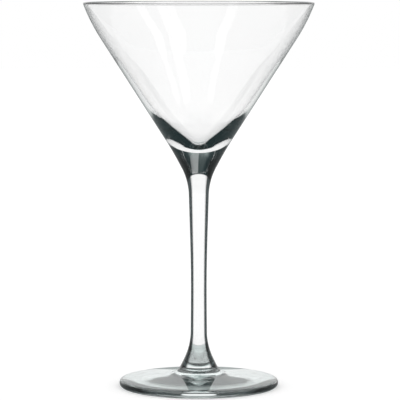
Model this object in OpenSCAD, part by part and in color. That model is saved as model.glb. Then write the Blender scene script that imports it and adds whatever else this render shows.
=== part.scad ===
// Martini glass, in three pieces of clear glass that are fused end to end.
// Every piece is turned about the Z axis. The glass stands on Z = 0, and sizes are in millimetres.

/* [Bowl] */
// Diameter over the lip
rim_d = 111.5; // [100:0.5:124]
// Height of the bowl, from its joint with the stem to the lip
bowl_h = 84; // [76:1:94]
// Thickness of the wall at the lip, and down to where it thickens
wall_t = 1.1; // [0.8:0.1:1.6]
// Height of the band under the lip, which stands steeper than the cone
band_h = 9.5; // [6:0.5:12]
// Lean of that band, in degrees from upright
band_lean = 21; // [16:1:25]
// Radius that bends the cone's outside into the band
band_r = 90; // [50:5:120]
// Height above the joint at which the wall starts to thicken downwards
thin_h = 57; // [50:1:62]
// Radius that bends the wall's inside where it thickens
thin_r = 220; // [120:10:300]
// Diameter over the solid root, where the cone sits on it
root_d = 25.5; // [22:0.5:29]
// Height of that place above the joint
root_h = 12.5; // [10:0.5:15]
// Radius that bends the cone's outside into the root
root_r = 150; // [80:10:200]
// Solid glass between the joint and the inside bottom
base_t = 14.2; // [12:0.2:16]
// Diameter at which the wall's inside turns into the bottom
well_d = 36.5; // [34:0.5:39]
// Radius of that turn
well_r = 90; // [60:5:110]
// Rise of the bottom towards the turn, in degrees from level
well_lean = 41; // [36:1:44]
// Radius of the bottom's round tip
tip_r = 12; // [9:0.5:13]

/* [Stem] */
// Length of the stem, from joint to joint
stem_l = 92.5; // [70:0.5:120]
// Diameter of the stem at its neck, just under the bowl
neck_d = 10.1; // [9:0.1:12]
// Depth of the neck under the bowl's joint
neck_h = 2; // [1:0.5:4]
// Radius that bends the bowl's root into the neck
neck_r = 30; // [15:1:40]
// Diameter of the stem at its waist, the narrowest place
waist_d = 7.4; // [6:0.1:8.5]
// Height of the waist above the foot's joint
waist_h = 46; // [36:1:56]
// Radius of the long hollow curve through the waist
waist_r = 800; // [300:50:1200]
// Diameter of the stem at its ankle, where it starts to flare
ankle_d = 8; // [7:0.1:10]
// Height of the ankle above the foot's joint
ankle_h = 10; // [7:0.5:14]
// Radius that bends the ankle into the flare
ankle_r = 30; // [12:1:40]

/* [Foot] */
// Diameter of the foot
foot_d = 77.2; // [66:0.2:90]
// Height of the foot's joint with the stem above the table
boss_h = 10; // [9:0.5:13]
// Thickness of the foot's round edge
edge_t = 3.6; // [2.6:0.1:4.4]
// Diameter of the boss, where its side would meet the foot's top
boss_d = 21; // [18:0.5:25]
// Height of the foot's top there
dome_h = 6.5; // [5.5:0.1:7.5]
// Radius that bends the foot's top into the boss
boss_r = 8; // [4:0.5:11]
// Width of the flat ring that the glass stands on
ring_w = 3; // [2:0.5:5]
// Depth of the hollow under the foot, at its middle
hollow_h = 1.7; // [0.8:0.1:2.5]

/* [Hidden] */

$fn = 128;
arc_step = 3;          // degrees that one straight piece of an arc turns
least_steps = 6;       // straight pieces in the shortest arc
half_side = 0.48;      // share of a side that a rounding may use between two corners
whole_side = 0.96;     // the same where the side's other end stays sharp
same = 0.01;           // points this near each other count as one

glass = [0.80, 0.89, 0.88, 0.45];

foot_joint = boss_h;
bowl_joint = foot_joint + stem_l;
lip_z = bowl_joint + bowl_h;

// The direction from one point to another, of length 1.
function toward(from, to) = (to - from) / norm(to - from);

// The point at an angle and a distance from a centre.
function polar(centre, r, angle) = centre + r * [cos(angle), sin(angle)];

// The points of an arc about a centre. A sweep under 0 runs clockwise.
function arc(centre, r, start, sweep) =
    let (steps = max(least_steps, ceil(abs(sweep) / arc_step)))
    [for (i = [0 : steps]) polar(centre, r, start + sweep * i / steps)];

// The corner of an outline at q, between p and s, rounded to the radius r or to what the given
// shares of its two sides allow.
function corner(p, q, s, r, share_back, share_ahead) =
    let (
        back = toward(q, p),
        ahead = toward(q, s),
        half = acos(back * ahead) / 2,
        side = min(r / tan(half), share_back * norm(p - q), share_ahead * norm(s - q)),
        centre = q + toward([0, 0], back + ahead) * side / cos(half),
        first = q + side * back - centre,
        turn = (back.x * ahead.y - back.y * ahead.x) > 0 ? -1 : 1
    )
    arc(centre, side * tan(half), atan2(first.y, first.x), turn * (180 - 2 * half));

// An outline through corners given as [point, rounding]. Its two ends stay sharp.
function outline(corners) =
    let (last = len(corners) - 1, at = [for (c = corners) c[0]])
    concat(
        [at[0]],
        [for (i = [1 : last - 1]) each corner(
            at[i - 1], at[i], at[i + 1], corners[i][1],
            i == 1 ? whole_side : half_side,
            i == last - 1 ? whole_side : half_side
        )],
        [at[last]]
    );

// The points of an outline that lie between two heights.
function between(path, low, high) =
    [for (p = path) if (p.y > low + same && p.y < high - same) p];

// The point at which a rising outline reaches a height.
function at_height(path, z) = [lookup(z, [for (p = path) [p.y, p.x]]), z];

// An outline without the points that repeat the one before.
function no_repeats(path) =
    [for (i = [0 : len(path) - 1]) if (i == 0 || norm(path[i] - path[i - 1]) > same) path[i]];

// The lip is melted round: half a circle, as wide as the wall.
lip_r = wall_t / 2;
lip = [rim_d / 2 - lip_r, lip_z - lip_r];
lip_outside = polar(lip, lip_r, -band_lean);
lip_inside = polar(lip, lip_r, 180 - band_lean);

// Where the outside of the cone bends into the band, where it sits on the root, and its lean.
shoulder_z = lip_z - band_h;
shoulder = [lip_outside.x - (lip_outside.y - shoulder_z) * tan(band_lean), shoulder_z];
root = [root_d / 2, bowl_joint + root_h];
cone_lean = atan2(shoulder.x - root.x, shoulder.y - root.y);

// The foot's round edge, and the flat ring beside it that the glass stands on.
edge_r = edge_t / 2;
ring_in = foot_d / 2 - edge_r - ring_w;

// The outside of the whole glass, from the ring on the table up to the lip. The pieces are melted
// together, so it runs through both joints as one line.
outside = outline([
    [[ring_in, 0], 0],
    [[foot_d / 2, 0], edge_r],
    [[foot_d / 2, edge_t], edge_r],
    [[boss_d / 2, dome_h], boss_r],
    [[ankle_d / 2, foot_joint + ankle_h], ankle_r],
    [[waist_d / 2, foot_joint + waist_h], waist_r],
    [[neck_d / 2, bowl_joint - neck_h], neck_r],
    [root, root_r],
    [shoulder, band_r],
    [lip_outside, 0]
]);

// The inside of the bowl: one wall from the outside down to where it thickens, from there on to the
// turn, and then down the bottom to its round tip, which it touches.
half_bend = (cone_lean - band_lean) / 2;
inner_shoulder = polar(shoulder, wall_t / cos(half_bend), 180 - band_lean - half_bend);
thin_z = bowl_joint + thin_h;
thin_end = polar([root.x + (thin_z - root.y) * tan(cone_lean), thin_z], wall_t, 180 - cone_lean);
tip = [0, bowl_joint + base_t + tip_r];
tip_edge = polar(tip, tip_r, well_lean - 90);
well = [well_d / 2, tip_edge.y + (well_d / 2 - tip_edge.x) * tan(well_lean)];
inside = outline([
    [lip_inside, 0],
    [inner_shoulder, band_r - wall_t],
    [thin_end, thin_r],
    [well, well_r],
    [tip_edge, 0]
]);

// The bowl in section: up its outside, over the lip, down its inside and round the bottom's tip.
module bowl_section()
    polygon(no_repeats(concat(
        [[0, bowl_joint], at_height(outside, bowl_joint)],
        between(outside, bowl_joint, lip_z),
        arc(lip, lip_r, -band_lean, 180),
        inside,
        arc(tip, tip_r, well_lean - 90, -well_lean)
    )));

// The stem in section: a solid rod, thick at its neck, waisted, and flared at its foot.
module stem_section()
    polygon(concat(
        [[0, foot_joint], at_height(outside, foot_joint)],
        between(outside, foot_joint, bowl_joint),
        [at_height(outside, bowl_joint), [0, bowl_joint]]
    ));

// The foot in section: hollow underneath inside its ring, with a round edge and a boss for the stem.
module foot_section() {
    dish_r = (ring_in * ring_in + hollow_h * hollow_h) / (2 * hollow_h);
    dish_sweep = asin(ring_in / dish_r);
    polygon(no_repeats(concat(
        arc([0, hollow_h - dish_r], dish_r, 90, -dish_sweep),
        between(outside, -edge_t, foot_joint),
        [at_height(outside, foot_joint), [0, foot_joint]]
    )));
}

module bowl() color(glass) rotate_extrude() bowl_section();

module stem() color(glass) rotate_extrude() stem_section();

module foot() color(glass) rotate_extrude() foot_section();

bowl();
stem();
foot();
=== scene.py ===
import math

import bpy
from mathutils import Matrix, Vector


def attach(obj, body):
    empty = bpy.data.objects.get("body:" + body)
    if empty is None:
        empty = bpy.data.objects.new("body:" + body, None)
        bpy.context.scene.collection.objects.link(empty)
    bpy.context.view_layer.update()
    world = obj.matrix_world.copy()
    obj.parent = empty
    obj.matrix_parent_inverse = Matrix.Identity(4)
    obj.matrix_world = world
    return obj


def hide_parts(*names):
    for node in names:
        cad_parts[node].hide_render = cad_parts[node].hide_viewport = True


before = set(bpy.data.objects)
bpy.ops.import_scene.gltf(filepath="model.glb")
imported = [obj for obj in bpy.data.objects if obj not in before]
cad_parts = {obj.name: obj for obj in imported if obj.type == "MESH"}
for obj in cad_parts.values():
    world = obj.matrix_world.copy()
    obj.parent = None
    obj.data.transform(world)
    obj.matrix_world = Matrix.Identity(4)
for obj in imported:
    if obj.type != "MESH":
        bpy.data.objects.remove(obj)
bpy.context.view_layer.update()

# ---- Camera ----
# A long lens a little higher than the lip, looking slightly down, so that the glass stands upright
# and both edges of its mouth show as thin lines.

camera_distance = 1.206             # from the glass's axis, in metres
camera_height = 0.2007              # above the table, in metres
camera_pitch = math.radians(5.2)    # how far down it looks

bpy.ops.object.camera_add(
    location=(0, -camera_distance, camera_height),
    rotation=(math.radians(90) - camera_pitch, 0, 0),
)
camera = bpy.context.object
camera.name = "camera"
camera.data.lens = 225
camera.data.sensor_width = 36
camera.data.shift_x = 0.003
camera.data.clip_end = 50
bpy.context.scene.camera = camera

# ---- Backdrop ----
# A white backdrop all round, lit softly and evenly, and a darker room above it. The glass shows the
# backdrop, and over it the dark of the room, which draws its solid root. Its dark edges, on the
# root too, are painted shade in the glass's own colour.


def linear(code):
    """The colour of a hex code, as the linear red, green, blue and alpha that Blender works in."""
    shares = [int(code[place:place + 2], 16) / 255 for place in (1, 3, 5)]
    curved = [s / 12.92 if s <= 0.04045 else ((s + 0.055) / 1.055) ** 2.4 for s in shares]
    return (*curved, 1)


def add_node(tree, kind, links=(), values=(), **settings):
    """Adds a node with its settings, its inputs' values, and links from other nodes' outputs. On a
    Mix node, input 0 is the share, 2 and 3 are the two numbers, and 6 and 7 are the two colours,
    whose mix is output 2."""
    node = tree.nodes.new(kind)
    for name, setting in settings.items():
        setattr(node, name, setting)
    for socket, value in dict(values).items():
        node.inputs[socket].default_value = value
    for socket, output in dict(links).items():
        tree.links.new(output, node.inputs[socket])
    return node


white = linear("#ffffff")
backdrop_top = 24                   # degrees above level at which the backdrop ends
backdrop_soft = 2                   # degrees over which it fades into the room
room_dark = linear("#182a2c")       # the room above it, seen through the glass
middle_pale = linear("#a4b0ae")     # the room's middle, as light shows it that the glass reflected
sides_grey = linear("#2a3a3c")      # and its sides, as such light shows them
middle_to = 0.22                    # how far aside the middle reaches, as the X of a direction
sides_from = 0.42                   # and from where on the sides are
ceiling = (1.51, 1.51, 1.51, 1)     # the lit ceiling, which is what the glass mirrors of the room
cards_grey = linear("#acaeae")      # grey cards on the backdrop, left and right, where mirrored
cards_from = 0.5                    # how far aside they begin, as the X of a direction
cards_full = 0.7                    # and from where on they are full

# How often light was reflected inside the glass tells how much glass it has crossed.
once = 0.5                          # more than this is one reflection or more
twice = 1.5                         # more than this is two or more
often = 3.5                         # more than this is four or more
turned_dark = linear("#0a2022")     # the tint of light that was reflected twice or more
turned_pale = linear("#cdd2d1")     # and of light that in the end comes from all round
all_round_from = 15                 # the reflections after which light begins to do so
all_round_full = 20                 # and after which it wholly does


def turned_light(tree, ray):
    """The tint that light has taken on, by how often it was reflected inside the glass."""
    all_round = add_node(
        tree, "ShaderNodeMapRange",
        links={"Value": ray.outputs["Glossy Depth"]},
        values={"From Min": all_round_from, "From Max": all_round_full},
    )
    turned = add_node(
        tree, "ShaderNodeMix", links={0: all_round.outputs[0]},
        values={6: turned_dark, 7: turned_pale}, data_type="RGBA",
    )
    was_turned = add_node(
        tree, "ShaderNodeMath", links={0: ray.outputs["Glossy Depth"]}, values={1: twice},
        operation="GREATER_THAN",
    )
    tint = add_node(
        tree, "ShaderNodeMix", links={0: was_turned.outputs[0], 7: turned.outputs[2]},
        values={6: white}, data_type="RGBA",
    )
    return tint.outputs[2]


# Light is guided a long way down inside the bowl's wall, so many reflections are followed.
scene = bpy.context.scene
scene.view_settings.view_transform = "Standard"
scene.cycles.max_bounces = 72
scene.cycles.glossy_bounces = 64
scene.cycles.transmission_bounces = 16

studio = bpy.data.worlds.new("studio")
scene.world = studio
studio.use_nodes = True
tree = studio.node_tree
tree.nodes.clear()
ray = add_node(tree, "ShaderNodeLightPath")
place = add_node(tree, "ShaderNodeTexCoord")
direction = add_node(tree, "ShaderNodeSeparateXYZ", links={"Vector": place.outputs["Generated"]})
above = add_node(
    tree, "ShaderNodeMapRange",
    links={"Value": direction.outputs["Z"]},
    values={
        "From Min": math.sin(math.radians(backdrop_top)),
        "From Max": math.sin(math.radians(backdrop_top + backdrop_soft)),
    },
)
aside = add_node(
    tree, "ShaderNodeMath", links={0: direction.outputs["X"]}, operation="ABSOLUTE",
)
on_cards = add_node(
    tree, "ShaderNodeMapRange",
    links={"Value": aside.outputs[0]},
    values={"From Min": cards_from, "From Max": cards_full},
)
off_middle = add_node(
    tree, "ShaderNodeMapRange",
    links={"Value": aside.outputs[0]},
    values={"From Min": middle_to, "From Max": sides_from},
)

# What is seen through the glass: the backdrop, and above it the room.
lit_room = add_node(
    tree, "ShaderNodeMix", links={0: off_middle.outputs[0]},
    values={6: middle_pale, 7: sides_grey}, data_type="RGBA",
)
was_reflected = add_node(
    tree, "ShaderNodeMath", links={0: ray.outputs["Glossy Depth"]}, values={1: once},
    operation="GREATER_THAN",
)
room = add_node(
    tree, "ShaderNodeMix", links={0: was_reflected.outputs[0], 7: lit_room.outputs[2]},
    values={6: room_dark}, data_type="RGBA",
)
seen_through = add_node(
    tree, "ShaderNodeMix", links={0: above.outputs[0], 7: room.outputs[2]}, values={6: white},
    data_type="RGBA",
)

# What the glass mirrors: the backdrop with its cards, and above it the ceiling.
round_it = add_node(
    tree, "ShaderNodeMix", links={0: on_cards.outputs[0]}, values={6: white, 7: cards_grey},
    data_type="RGBA",
)
mirrored = add_node(
    tree, "ShaderNodeMix", links={0: above.outputs[0], 6: round_it.outputs[2]},
    values={7: ceiling}, data_type="RGBA",
)
backdrop = add_node(
    tree, "ShaderNodeMix",
    links={
        0: ray.outputs["Is Reflection Ray"],
        6: seen_through.outputs[2],
        7: mirrored.outputs[2],
    },
    data_type="RGBA",
)

# Both are tinted by the glass, off the middle or after many reflections.
was_often = add_node(
    tree, "ShaderNodeMath", links={0: ray.outputs["Glossy Depth"]}, values={1: often},
    operation="GREATER_THAN",
)
tinted = add_node(
    tree, "ShaderNodeMath", links={0: off_middle.outputs[0], 1: was_often.outputs[0]},
    operation="MAXIMUM",
)
turned_tint = add_node(
    tree, "ShaderNodeMix", links={0: tinted.outputs[0], 7: turned_light(tree, ray)},
    values={6: white}, data_type="RGBA",
)
in_glass = add_node(
    tree, "ShaderNodeVectorMath",
    links={0: backdrop.outputs[2], 1: turned_tint.outputs[2]}, operation="MULTIPLY",
)

# With no glass before it the backdrop is plain white, and it lights the table as white too.
seen_plain = add_node(
    tree, "ShaderNodeMath",
    links={0: ray.outputs["Is Camera Ray"], 1: ray.outputs["Diffuse Depth"]},
    operation="ADD", use_clamp=True,
)
shown = add_node(
    tree, "ShaderNodeMix", links={0: seen_plain.outputs[0], 6: in_glass.outputs[0]},
    values={7: white}, data_type="RGBA",
)
light = add_node(tree, "ShaderNodeBackground", links={"Color": shown.outputs[2]})
add_node(tree, "ShaderNodeOutputWorld", links={"Surface": light.outputs[0]})

# ---- Table ----
# The pale table that the glass stands on, covered with white laminate. It runs on behind the glass
# into the backdrop, and keeps a trace of its soft shadow.

table_side = 8                      # in metres
table_gives_back = 0.9              # the share of the light that falls on it
# Painted shade: the table is drawn a darker grey where the glass mirrors it.
table_mirrored_shade = linear("#9b9f9f")  # its colour where the glass mirrors it
table_glow = 0.12                   # how much it shines by itself, so that it stays white
table_glow_seen = 0.17              # and how much where it is looked at without glass before it

bpy.ops.mesh.primitive_plane_add(size=table_side, location=(0, 0, 0))
table = bpy.context.object
table.name = "table"

# White laminate is matt and even, so that the eye finds nothing on it but the shadow.
laminate = bpy.data.materials.new("white_laminate")
laminate.use_nodes = True
tree = laminate.node_tree
tree.nodes.clear()
ray = add_node(tree, "ShaderNodeLightPath")
# Painted shade: where the glass mirrors the table it is drawn a darker grey than it is.
table_seen = add_node(
    tree, "ShaderNodeMix", links={0: ray.outputs["Is Reflection Ray"]},
    values={6: white, 7: table_mirrored_shade}, data_type="RGBA",
)
tint = add_node(
    tree, "ShaderNodeVectorMath",
    links={0: turned_light(tree, ray), 1: table_seen.outputs[2]}, operation="MULTIPLY",
)
top_colour = add_node(
    tree, "ShaderNodeVectorMath", links={0: tint.outputs[0]}, values={"Scale": table_gives_back},
    operation="SCALE",
)
top = add_node(tree, "ShaderNodeBsdfDiffuse", links={"Color": top_colour.outputs[0]})
glowing = add_node(
    tree, "ShaderNodeMapRange", links={"Value": ray.outputs["Is Camera Ray"]},
    values={"To Min": table_glow, "To Max": table_glow_seen},
)
glow = add_node(
    tree, "ShaderNodeEmission", links={"Color": tint.outputs[0], "Strength": glowing.outputs[0]},
)
lit = add_node(tree, "ShaderNodeAddShader", links={0: top.outputs[0], 1: glow.outputs[0]})
add_node(tree, "ShaderNodeOutputMaterial", links={"Surface": lit.outputs[0]})
table.data.materials.append(laminate)

# ---- Softboxes ----
# Four softboxes that stand round the bowl and shine on nothing but glass. It mirrors them as pale
# strips down its wall, and the one behind is also seen through it.

softboxes_round = Vector((0, 0, 0.12))      # the place that they stand round and face, in metres


def softbox(name, toward, distance, wide, long, watts, mirrored_only):
    """A softbox in a direction from the bowl, at a distance and with two sides in metres."""
    aim = Vector(toward).normalized()
    bpy.ops.object.light_add(
        type="AREA", location=softboxes_round + aim * distance,
        rotation=aim.to_track_quat("Z", "Y").to_euler(),
    )
    lamp = bpy.context.object
    lamp.name = name
    lamp.data.shape = "RECTANGLE"
    lamp.data.size = wide
    lamp.data.size_y = long
    lamp.data.energy = watts
    lamp.visible_camera = False
    lamp.visible_diffuse = False
    lamp.visible_transmission = not mirrored_only


softbox(
    "softbox_right", toward=(0.413, -0.444, 0.796), distance=1.3, wide=0.35, long=0.6,
    watts=0.84, mirrored_only=True,
)
softbox(
    "softbox_far_right", toward=(0.67, -0.18, 0.71), distance=1.3, wide=0.18, long=0.6,
    watts=0.5, mirrored_only=True,
)
softbox(
    "softbox_left", toward=(-0.43, -0.43, 0.79), distance=1.3, wide=0.2, long=0.6,
    watts=0.47, mirrored_only=True,
)
softbox(
    "strip_behind", toward=(0.142, 0.729, 0.669), distance=1.5, wide=0.42, long=0.8,
    watts=0.3, mirrored_only=False,
)

# ---- Bowl ----
# The conical bowl of clear soda-lime glass, blown in a mould. Its wall is one thickness down from
# the round, flame-polished lip, thickens towards the bottom, and ends in a solid root, where the
# stem was drawn out of it.

MM = 0.001              # one millimetre in metres. The sizes of the glass are all in millimetres.

boss_h = 10             # height of the foot's joint with the stem
stem_l = 92.5           # length of the stem, from joint to joint
bowl_h = 84             # height of the bowl, from its joint with the stem to the lip
rim_d = 111.5           # diameter over the lip
wall_t = 1.1            # thickness of the wall at the lip, and down to where it thickens
band_h = 9.5            # height of the band under the lip, which stands steeper than the cone
band_lean = 21          # lean of that band, in degrees from upright
band_r = 88.8           # radius that bends the cone into it: 90, less what the short band cuts off
thin_h = 57             # height above the joint at which the wall starts to thicken downwards
thin_r = 220            # radius that bends the wall's inside there
root_d = 25.5           # diameter over the solid root, where the cone sits on it
root_h = 12.5           # height of that place above the joint
root_r = 150            # radius that bends the cone's outside into the root
base_t = 14.2           # solid glass between the joint and the inside bottom
well_d = 36.5           # diameter at which the wall's inside turns into the bottom
well_r = 90             # radius of that turn
well_lean = 41          # rise of the bottom towards the turn, in degrees from level
tip_r = 12              # radius of the bottom's round tip
neck_d = 10.1           # diameter of the stem at its neck, just under the bowl
neck_h = 2              # depth of the neck under the bowl's joint
neck_r = 30             # radius that bends the bowl's root into the neck
waist_d = 7.4           # diameter of the stem at its waist, where its two long sides would meet
waist_h = 46            # height of the waist above the foot's joint

foot_joint = boss_h
bowl_joint = foot_joint + stem_l
lip_z = bowl_joint + bowl_h


def polar(centre, radius, degrees):
    """The point at an angle and a distance from a centre."""
    angle = math.radians(degrees)
    return centre + radius * Vector((math.cos(angle), 0, math.sin(angle)))


# The outline's corners, from the stem's waist up the outside, and down the inside to the tip.
waist = Vector((waist_d / 2, 0, foot_joint + waist_h))
neck = Vector((neck_d / 2, 0, bowl_joint - neck_h))
root = Vector((root_d / 2, 0, bowl_joint + root_h))
lip_r = wall_t / 2
lip = Vector((rim_d / 2 - lip_r, 0, lip_z - lip_r))
lip_outside = polar(lip, lip_r, -band_lean)
lip_inside = polar(lip, lip_r, 180 - band_lean)
shoulder_z = lip_z - band_h
band_out = (lip_outside.z - shoulder_z) * math.tan(math.radians(band_lean))
shoulder = Vector((lip_outside.x - band_out, 0, shoulder_z))
cone_lean = math.degrees(math.atan2(shoulder.x - root.x, shoulder.z - root.z))
half_bend = (cone_lean - band_lean) / 2
inner_shoulder = polar(
    shoulder, wall_t / math.cos(math.radians(half_bend)), 180 - band_lean - half_bend
)
thin_z = bowl_joint + thin_h
cone_x = root.x + (thin_z - root.z) * math.tan(math.radians(cone_lean))
thin_end = polar(Vector((cone_x, 0, thin_z)), wall_t, 180 - cone_lean)
tip = Vector((0, 0, bowl_joint + base_t + tip_r))
tip_edge = polar(tip, tip_r, well_lean - 90)
well_rise = (well_d / 2 - tip_edge.x) * math.tan(math.radians(well_lean))
well = Vector((well_d / 2, 0, tip_edge.z + well_rise))

longest_step = 4        # the longest straight step in an outline, in millimetres
arc_step = 1.5          # degrees that one straight step of an arc turns
lip_step = 7.5          # and that one of the lip's small round does
fewest_steps = 4        # steps in the shortest arc
steps_round = 240       # steps in which an outline is turned about the glass's axis
same_place = 1e-6       # points this near each other, in metres, are one


def start_line(point):
    """Begins a piece with one point, given in millimetres as the outline's points all are."""
    bpy.ops.object.select_all(action="DESELECT")
    bpy.ops.mesh.primitive_plane_add(size=MM, location=point * MM)
    bpy.ops.object.mode_set(mode="EDIT")
    bpy.ops.mesh.merge(type="CENTER")


def line_to(here, there):
    """Draws a straight line on from the outline's last point, in even steps."""
    steps = max(1, math.ceil((there - here).length / longest_step))
    for step in range(steps):
        bpy.ops.mesh.extrude_region_move(
            TRANSFORM_OT_translate={"value": (there - here) * MM / steps}
        )


def arc_about(here, centre, degrees, step=arc_step):
    """Draws an arc on from the last point, anticlockwise about its centre. Returns its end."""
    steps = max(fewest_steps, math.ceil(abs(degrees) / step))
    bpy.ops.mesh.spin(
        steps=steps, angle=math.radians(degrees), center=centre * MM, axis=(0, 1, 0)
    )
    out = here - centre
    return polar(centre, out.length, math.degrees(math.atan2(out.z, out.x)) + degrees)


def round_corner(here, before, at, after, radius):
    """Draws on to a corner and round it, and returns the place where the next line starts."""
    back = (before - at).normalized()
    ahead = (after - at).normalized()
    half = back.angle(ahead) / 2
    side = radius / math.tan(half)
    centre = at + (back + ahead).normalized() * side / math.cos(half)
    turn = 180 - 2 * math.degrees(half)
    clockwise = back.x * ahead.z > back.z * ahead.x
    begin = at + back * side
    line_to(here, begin)
    return arc_about(begin, centre, -turn if clockwise else turn)


def draw_line(here, corners, end):
    """Draws on through corners given as (point, radius), up to an end."""
    before = here
    for number, (at, radius) in enumerate(corners):
        after = corners[number + 1][0] if number + 1 < len(corners) else end
        here = round_corner(here, before, at, after, radius)
        before = at
    line_to(here, end)


def turn_piece(name):
    """Turns the outline about the glass's axis, into a piece that lies where its points say."""
    bpy.ops.mesh.select_all(action="SELECT")
    bpy.ops.mesh.spin(steps=steps_round, angle=math.tau, center=(0, 0, 0), axis=(0, 0, 1))
    bpy.ops.mesh.select_all(action="SELECT")
    bpy.ops.mesh.remove_doubles(threshold=same_place)
    bpy.ops.object.mode_set(mode="OBJECT")
    piece = bpy.context.object
    piece.name = name
    bpy.ops.object.transform_apply(location=True)
    return piece


def cut_level(z, keep_above):
    """Cuts the piece level at a height, where it meets the next one, and closes the cut."""
    bpy.ops.object.mode_set(mode="EDIT")
    bpy.ops.mesh.select_all(action="SELECT")
    bpy.ops.mesh.bisect(
        plane_co=(0, 0, z * MM), plane_no=(0, 0, 1), use_fill=True, threshold=same_place,
        clear_inner=keep_above, clear_outer=not keep_above,
    )
    bpy.ops.mesh.select_all(action="SELECT")
    bpy.ops.mesh.normals_make_consistent(inside=False)
    bpy.ops.object.mode_set(mode="OBJECT")


start_line(waist)
draw_line(waist, [(neck, neck_r), (root, root_r), (shoulder, band_r)], lip_outside)
arc_about(lip_outside, lip, 180, step=lip_step)
draw_line(
    lip_inside,
    [(inner_shoulder, band_r - wall_t), (thin_end, thin_r), (well, well_r)],
    tip_edge,
)
arc_about(tip_edge, tip, -well_lean)
bowl = turn_piece("glass_bowl")
cut_level(bowl_joint, keep_above=True)

wave_length = 9         # the waves that the mould leaves in the glass, in millimetres
wave_height = 0.01      # and how high they are
# Painted shade: the glass's colour is darkened where one looks at it at a slant, standing in for
# the dark room that the edges of real glass show. The numbers below say at which slants and heights
# this painted shade lies.
painted_edge_shade = linear("#0a0f10")   # what thick glass shows at its edges: next to no light
thin_from = 77.5        # the slant at which a thin wall begins to look dark, in degrees
thin_to = 87            # and at which it is darkest
thick_to = 8            # up to this height above the joint the bowl looks as thick glass does
wall_from = 14          # and from this height on as a thin wall does
wall_end = 0.9          # how far below the lip it begins to look thick again, in millimetres
lip_look = 0.4          # and how far below it wholly does
# Painted shade: the lip's bead is painted a little grey all over, standing in for the light that a
# real bead bends in from all sides.
bead_deep = 1.2         # how far below the lip its melted bead begins to show, in millimetres
bead_full = 0.6         # and is full
bead_painted_grey = 0.25        # how grey the bead is all over, because it bends light from all sides
level_from = 0.5        # the Z of its normal at which a face begins to count as level
level_full = 0.8        # and at which it wholly does


def facing(degrees):
    """What Layer Weight's Facing gives where one looks at a surface at a slant, in degrees."""
    return 1 - math.cos(math.radians(degrees))


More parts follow.
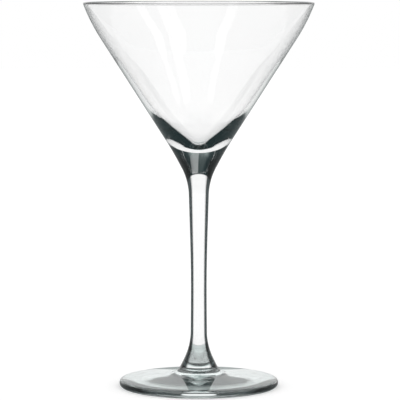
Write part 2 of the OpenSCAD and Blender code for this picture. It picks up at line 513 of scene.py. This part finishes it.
def melted_glass(
    name, dark_from=36, dark_to=46, tint="#ffffff", has_wall=False, flat_top=False, haze=0,
):
    """Clear soda-lime glass, blown or pressed and then polished in a flame. To the eye it is smooth
    and bright, with faint waves. Painted shade darkens its colour where one looks into thick glass
    at a slant, from dark_from to dark_to degrees, standing in for the dark room that such glass
    shows. On a thin wall the painted shade lies only at its very edge, and a flat top stays clear
    of it. The haze is the share of the light that the glass scatters."""
    glass = bpy.data.materials.new(name)
    glass.use_nodes = True
    tree = glass.node_tree
    shader = tree.nodes["Principled BSDF"]
    shader.inputs["Transmission Weight"].default_value = 1 - haze
    shader.inputs["IOR"].default_value = 1.52
    shader.inputs["Roughness"].default_value = 0
    # Painted shade: Layer Weight's Facing mixes the glass's colour towards near-black where it is
    # seen at a slant.
    slant = add_node(tree, "ShaderNodeLayerWeight", values={"Blend": 0.5})
    place = add_node(tree, "ShaderNodeTexCoord")
    edge = add_node(
        tree, "ShaderNodeMapRange",
        links={"Value": slant.outputs["Facing"]},
        values={"From Min": facing(dark_from), "From Max": facing(dark_to)},
    )
    painted_shade = edge.outputs[0]
    if has_wall:
        thin_edge = add_node(
            tree, "ShaderNodeMapRange",
            links={"Value": slant.outputs["Facing"]},
            values={"From Min": facing(thin_from), "From Max": facing(thin_to)},
        )
        height = add_node(tree, "ShaderNodeSeparateXYZ", links={"Vector": place.outputs["Object"]})
        above_root = add_node(
            tree, "ShaderNodeMapRange",
            links={"Value": height.outputs["Z"]},
            values={
                "From Min": (bowl_joint + thick_to) * MM,
                "From Max": (bowl_joint + wall_from) * MM,
            },
        )
        under_lip = add_node(
            tree, "ShaderNodeMapRange",
            links={"Value": height.outputs["Z"]},
            values={
                "From Min": (lip_z - wall_end) * MM,
                "From Max": (lip_z - lip_look) * MM,
                "To Min": 1,
                "To Max": 0,
            },
        )
        thin = add_node(
            tree, "ShaderNodeMath", links={0: above_root.outputs[0], 1: under_lip.outputs[0]},
            operation="MULTIPLY",
        )
        mixed = add_node(
            tree, "ShaderNodeMix",
            links={0: thin.outputs[0], 2: edge.outputs[0], 3: thin_edge.outputs[0]},
            data_type="FLOAT",
        )
        # Painted shade: a little grey all over the lip's bead.
        bead = add_node(
            tree, "ShaderNodeMapRange",
            links={"Value": height.outputs["Z"]},
            values={
                "From Min": (lip_z - bead_deep) * MM,
                "From Max": (lip_z - bead_full) * MM,
                "To Max": bead_painted_grey,
            },
        )
        darker = add_node(
            tree, "ShaderNodeMath", links={0: mixed.outputs[0], 1: bead.outputs[0]},
            operation="MAXIMUM",
        )
        painted_shade = darker.outputs[0]
    # A flat top is kept clear of the painted shade.
    if flat_top:
        normal = add_node(tree, "ShaderNodeSeparateXYZ", links={"Vector": place.outputs["Normal"]})
        level = add_node(
            tree, "ShaderNodeMath", links={0: normal.outputs["Z"]}, operation="ABSOLUTE",
        )
        upright = add_node(
            tree, "ShaderNodeMapRange",
            links={"Value": level.outputs[0]},
            values={"From Min": level_from, "From Max": level_full, "To Min": 1, "To Max": 0},
        )
        sides = add_node(
            tree, "ShaderNodeMath", links={0: edge.outputs[0], 1: upright.outputs[0]},
            operation="MULTIPLY",
        )
        painted_shade = sides.outputs[0]
    # The glass's own tint, with the painted shade mixed into it.
    body = add_node(
        tree, "ShaderNodeMix", links={0: painted_shade},
        values={6: linear(tint), 7: painted_edge_shade}, data_type="RGBA",
    )
    tree.links.new(body.outputs[2], shader.inputs["Base Color"])
    waves = add_node(
        tree, "ShaderNodeTexNoise", links={"Vector": place.outputs["Object"]},
        values={"Scale": 1 / (wave_length * MM), "Detail": 1, "Roughness": 0.4},
    )
    bump = add_node(
        tree, "ShaderNodeBump", links={"Height": waves.outputs[0]},
        values={"Strength": 1, "Distance": wave_height * MM},
    )
    tree.links.new(bump.outputs[0], shader.inputs["Normal"])
    return glass


# Where two pieces are melted together the glass goes on, so the eye finds no surface there.
fused = bpy.data.materials.new("melted_together")
fused.use_nodes = True
tree = fused.node_tree
tree.nodes.clear()
clear = add_node(tree, "ShaderNodeBsdfTransparent")
add_node(tree, "ShaderNodeOutputMaterial", links={"Surface": clear.outputs[0]})

sharp_bend = math.radians(40)   # edges that bend more than this stay sharp
most_corners = 100              # only the level cuts have more corners than this


def finish_glass(piece, glass):
    """Gives a piece its glass, and lets light pass the level cuts, where the pieces are one."""
    piece.data.materials.append(glass)
    piece.data.materials.append(fused)
    for face in piece.data.polygons:
        if len(face.vertices) > most_corners:
            face.material_index = 1
    bpy.ops.object.shade_smooth_by_angle(angle=sharp_bend)


finish_glass(bowl, melted_glass("blown_glass", has_wall=True))
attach(bowl, "root")
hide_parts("bowl")

# ---- Stem ----
# The solid stem, drawn out of the bowl's own glass while that was soft: thick at its neck,
# narrowest at its waist, and flared where it is melted to the foot.

waist_r = 800           # radius of the long hollow curve through the waist
ankle_d = 8             # diameter of the stem at its ankle, where it starts to flare
ankle_h = 10            # height of the ankle above the foot's joint
ankle_r = 30            # radius that bends the ankle into the flare
boss_d = 21             # diameter of the boss, where its side would meet the foot's top
dome_h = 6.5            # height of the foot's top there

ankle = Vector((ankle_d / 2, 0, foot_joint + ankle_h))
boss = Vector((boss_d / 2, 0, dome_h))

start_line(boss)
draw_line(boss, [(ankle, ankle_r), (waist, waist_r), (neck, neck_r)], root)
stem = turn_piece("glass_stem")
cut_level(bowl_joint, keep_above=False)
cut_level(foot_joint, keep_above=True)

finish_glass(stem, melted_glass("drawn_glass"))
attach(stem, "root")
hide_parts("stem")

# ---- Foot ----
# The round foot of the same glass, pressed and spun flat: a boss that the stem is melted to, a
# shallow top, a full round edge, and a hollow underside, so that it stands on a narrow ring.

foot_d = 77.2           # diameter of the foot
edge_t = 3.6            # thickness of its round edge
edge_r = 1.73           # radius of that edge: half of it, less a little that stays upright
boss_r = 8              # radius that bends the foot's top into the boss
ring_w = 3              # width of the flat ring that the glass stands on
hollow_h = 1.7          # depth of the hollow under the foot, at its middle
hollow_step = 0.5       # degrees that one straight step of the hollow turns
foot_tint = "#f4fcfb"   # the faint green of glass that one looks a long way through
foot_haze = 0.03        # pressed glass scatters a little light, so its darks aren't black

ring_in = foot_d / 2 - edge_t / 2 - ring_w
hollow_r = (ring_in**2 + hollow_h**2) / (2 * hollow_h)
hollow_sweep = math.degrees(math.asin(ring_in / hollow_r))
hollow_centre = Vector((0, 0, hollow_h - hollow_r))
under_middle = Vector((0, 0, hollow_h))
edge_low = Vector((foot_d / 2, 0, 0))
edge_high = Vector((foot_d / 2, 0, edge_t))

start_line(under_middle)
ring_edge = arc_about(under_middle, hollow_centre, -hollow_sweep, step=hollow_step)
draw_line(
    ring_edge,
    [(edge_low, edge_r), (edge_high, edge_r), (boss, boss_r), (ankle, ankle_r)],
    waist,
)
foot = turn_piece("glass_foot")
cut_level(foot_joint, keep_above=False)

pressed = melted_glass(
    "pressed_glass", dark_from=35, dark_to=47, tint=foot_tint, flat_top=True, haze=foot_haze,
)
finish_glass(foot, pressed)
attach(foot, "root")
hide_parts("foot")
